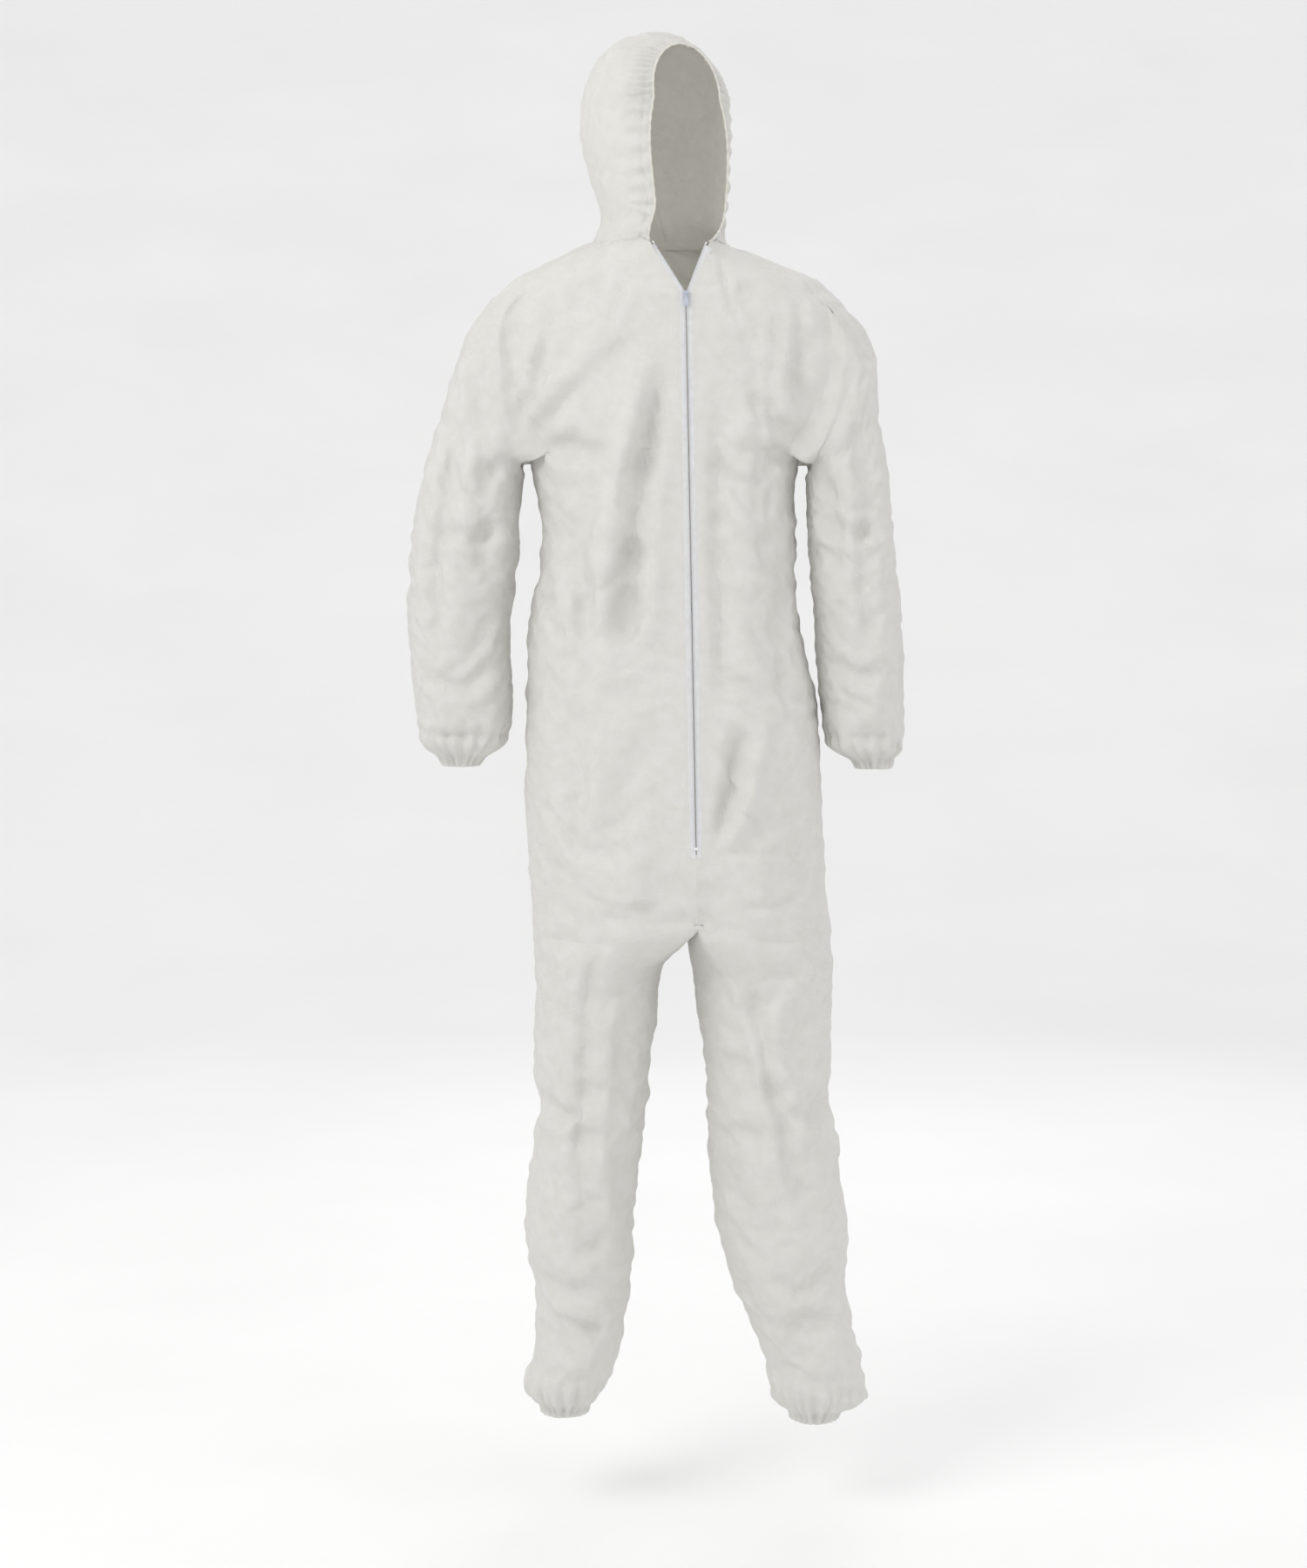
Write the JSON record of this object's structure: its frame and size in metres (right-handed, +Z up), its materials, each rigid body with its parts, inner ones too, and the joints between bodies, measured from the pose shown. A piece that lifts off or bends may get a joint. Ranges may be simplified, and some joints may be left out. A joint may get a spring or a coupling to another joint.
{
  "type": "chemical protective suit",
  "caption": "White hooded one-piece protective coverall with front zip, set-in sleeves and elastic at face, waist, wrists and ankles, in its worn shape.",
  "frame": {"origin": "base of the wearer's neck, where the suit hangs from the shoulders", "axes": "+Z up, the suit faces -Y, +X is the wearer's left"},
  "size_m": [0.613, 0.2594, 1.7196],
  "materials": {
    "cloth": "thin translucent white spunbond nonwoven, point bonded, matt",
    "elastic": "white covered elastic sewn inside a hem",
    "zip_tape": "woven polyester tape, cool white",
    "zip_coil": "moulded nylon coil, satin white",
    "zip_stop": "moulded white plastic",
    "slider": "blue-grey enamelled zinc"
  },
  "bodies": {
    "trunk": {"front_panel_left": "cloth", "front_panel_right": "cloth", "back_panel_left": "cloth", "back_panel_right": "cloth", "waist_elastic": "elastic", "crotch_gusset": "cloth", "zip_tape_left": "zip_tape", "zip_tape_right": "zip_tape", "zip_coil_left": "zip_coil", "zip_coil_right": "zip_coil", "zip_top_stop_left": "zip_stop", "zip_top_stop_right": "zip_stop", "zip_bottom_stop": "zip_stop"},
    "hood": {"hood_centre_panel": "cloth", "hood_side_left": "cloth", "hood_side_right": "cloth", "face_elastic": "elastic"},
    "slider": {"slider_body": "slider"},
    "pull_tab": {"pull_tab": "slider"},
    "upper_sleeve_left": {"sleeve_upper_left": "cloth"},
    "lower_sleeve_left": {"sleeve_lower_left": "cloth", "wrist_elastic_left": "elastic"},
    "upper_leg_left": {"leg_upper_front_left": "cloth", "leg_upper_back_left": "cloth"},
    "lower_leg_left": {"leg_lower_front_left": "cloth", "leg_lower_back_left": "cloth", "ankle_elastic_left": "elastic"},
    "upper_sleeve_right": {"sleeve_upper_right": "cloth"},
    "lower_sleeve_right": {"sleeve_lower_right": "cloth", "wrist_elastic_right": "elastic"},
    "upper_leg_right": {"leg_upper_front_right": "cloth", "leg_upper_back_right": "cloth"},
    "lower_leg_right": {"leg_lower_front_right": "cloth", "leg_lower_back_right": "cloth", "ankle_elastic_right": "elastic"}
  },
  "joints": [
    {"name": "hood_fold_back", "type": "hinge", "parent": "trunk", "child": "hood", "pos_m": [-0.03, 0.03, 0.0115], "axis": [-1, 0, 0], "range_deg": [0, 40]},
    {"name": "shoulder_right", "type": "hinge", "parent": "trunk", "child": "upper_sleeve_right", "pos_m": [-0.238, 0, -0.052], "axis": [0, 1, 0], "range_deg": [0, 30]},
    {"name": "shoulder_left", "type": "hinge", "parent": "trunk", "child": "upper_sleeve_left", "pos_m": [0.196, 0, -0.052], "axis": [0, -1, 0], "range_deg": [0, 30]},
    {"name": "elbow_right", "type": "hinge", "parent": "upper_sleeve_right", "child": "lower_sleeve_right", "pos_m": [-0.276, 0, -0.385], "axis": [-1, 0, 0], "range_deg": [0, 70]},
    {"name": "elbow_left", "type": "hinge", "parent": "upper_sleeve_left", "child": "lower_sleeve_left", "pos_m": [0.208, 0, -0.385], "axis": [-1, 0, 0], "range_deg": [0, 70]},
    {"name": "hip_right", "type": "hinge", "parent": "trunk", "child": "upper_leg_right", "pos_m": [-0.1, 0.002, -0.8435], "axis": [-1, 0, 0], "range_deg": [0, 45]},
    {"name": "hip_left", "type": "hinge", "parent": "trunk", "child": "upper_leg_left", "pos_m": [0.095, 0.002, -0.8435], "axis": [-1, 0, 0], "range_deg": [0, 45]},
    {"name": "knee_right", "type": "hinge", "parent": "upper_leg_right", "child": "lower_leg_right", "pos_m": [-0.115, 0.002, -1.034], "axis": [1, 0, 0], "range_deg": [0, 60]},
    {"name": "knee_left", "type": "hinge", "parent": "upper_leg_left", "child": "lower_leg_left", "pos_m": [0.105, 0.002, -1.034], "axis": [1, 0, 0], "range_deg": [0, 60]},
    {"name": "zip_slider", "type": "slide", "parent": "trunk", "child": "slider", "axis": [0.018, -0.0434, -0.9989], "range_m": [0, 0.64]},
    {"name": "pull_tab_flip", "type": "hinge", "parent": "slider", "child": "pull_tab", "pos_m": [0.00104, -0.1019, -0.05929], "axis": [-0.9998, 0, -0.018], "range_deg": [0, 150]}
  ]
}
